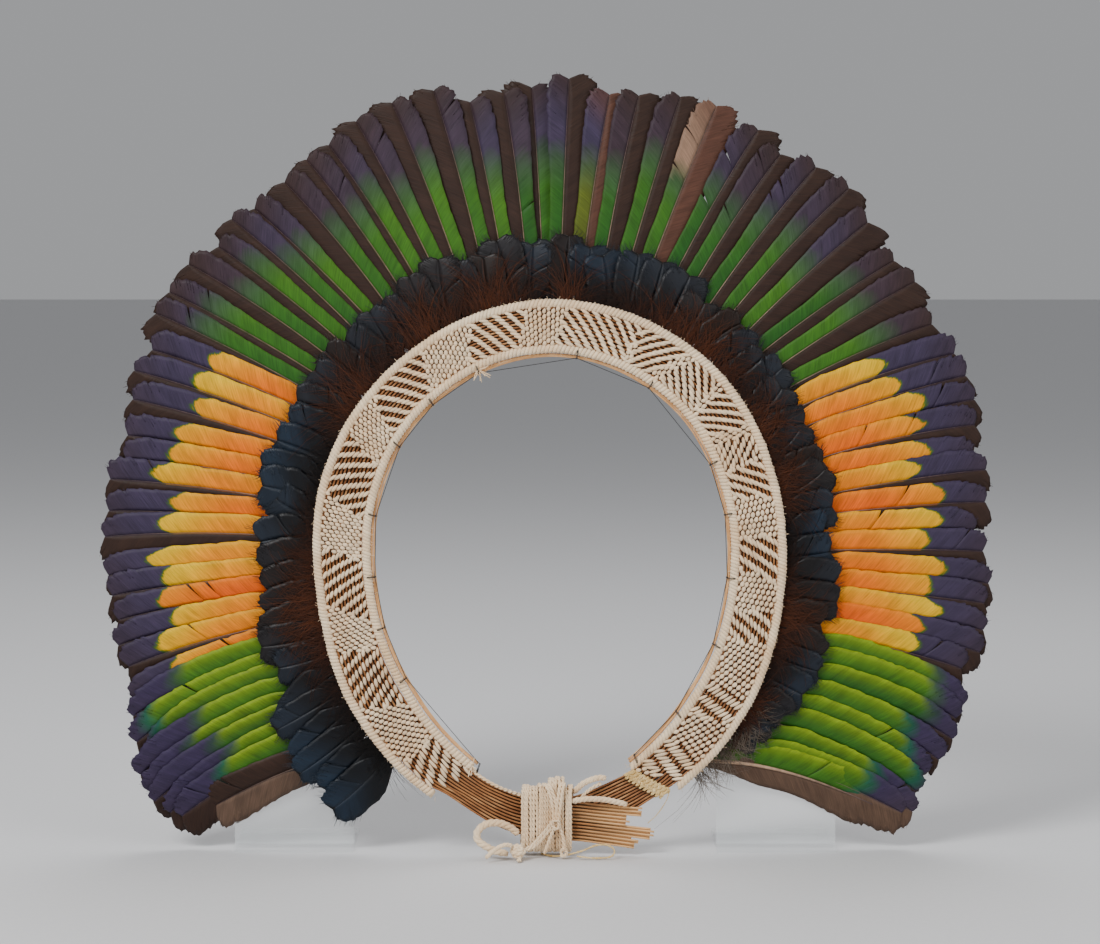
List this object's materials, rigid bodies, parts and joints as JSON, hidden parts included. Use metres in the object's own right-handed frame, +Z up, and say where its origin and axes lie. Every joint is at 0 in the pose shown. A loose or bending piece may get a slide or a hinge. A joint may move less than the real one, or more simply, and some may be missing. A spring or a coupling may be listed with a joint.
{
  "type": "feathered headdress on a pair of clear supports",
  "caption": "Upright halo headdress: flight feathers and short dark feathers round a woven cotton band tied below, leaning on clear supports.",
  "frame": {"origin": "middle of the box round everything but the loose cord ends, on the surface it stands on", "axes": "+Z up, the front faces -Y, +X to the right seen from the front"},
  "size_m": [0.5511, 0.0889, 0.4793],
  "materials": {
    "violet_feather": "green to violet flight feathers with a soft sheen",
    "orange_feather": "orange and yellow flight feathers with violet tips",
    "green_feather": "green flight feathers with yellow-green edges",
    "brown_feather": "brown undersides of the lowest flight feathers",
    "dark_feather": "blue-black short feathers and brown down",
    "cotton": "undyed twisted cotton yarn",
    "splint": "split palm stem, matt",
    "cane": "pale cane and plant fibre",
    "clear_sheet": "clear polished sheet"
  },
  "bodies": {
    "root": {"flight_feathers_left_1": "violet_feather", "flight_feathers_left_2": "violet_feather", "flight_feathers_left_3": "violet_feather", "flight_feathers_left_4": "violet_feather", "flight_feathers_left_5": "orange_feather", "flight_feathers_left_6": "orange_feather", "flight_feathers_left_7": "orange_feather", "flight_feathers_left_8": "orange_feather", "flight_feathers_left_9": "green_feather", "flight_feathers_left_10": "green_feather", "flight_feathers_left_11": "brown_feather", "flight_feathers_right_1": "violet_feather", "flight_feathers_right_2": "violet_feather", "flight_feathers_right_3": "violet_feather", "flight_feathers_right_4": "orange_feather", "flight_feathers_right_5": "orange_feather", "flight_feathers_right_6": "orange_feather", "flight_feathers_right_7": "orange_feather", "flight_feathers_right_8": "green_feather", "flight_feathers_right_9": "brown_feather", "dark_feathers_left_1": "dark_feather", "dark_feathers_left_2": "dark_feather", "dark_feathers_left_3": "dark_feather", "dark_feathers_left_4": "dark_feather", "dark_feathers_left_5": "dark_feather", "dark_feathers_left_6": "dark_feather", "dark_feathers_right_1": "dark_feather", "dark_feathers_right_2": "dark_feather", "dark_feathers_right_3": "dark_feather", "dark_feathers_right_4": "dark_feather", "dark_feathers_right_5": "dark_feather", "dark_feathers_right_6": "dark_feather", "cotton_weave": "cotton", "splints": "splint", "outer_rim": "cotton", "inner_rim": "cotton", "cane_hoop": "cane", "selvage": "cane", "tie_turn_1": "cotton", "tie_turn_2": "cotton", "tie_turn_3": "cotton", "tie_turn_4": "cotton", "tie_turn_5": "cotton", "tie_turn_6": "cotton", "tie_end_upper": "cotton", "tie_end_lower": "cotton", "tie_loop": "cotton", "tie_end_floor": "cotton", "fibre_loop": "cane", "tie_knot": "cotton", "support_left": "clear_sheet", "support_right": "clear_sheet"}
  },
  "joints": []
}
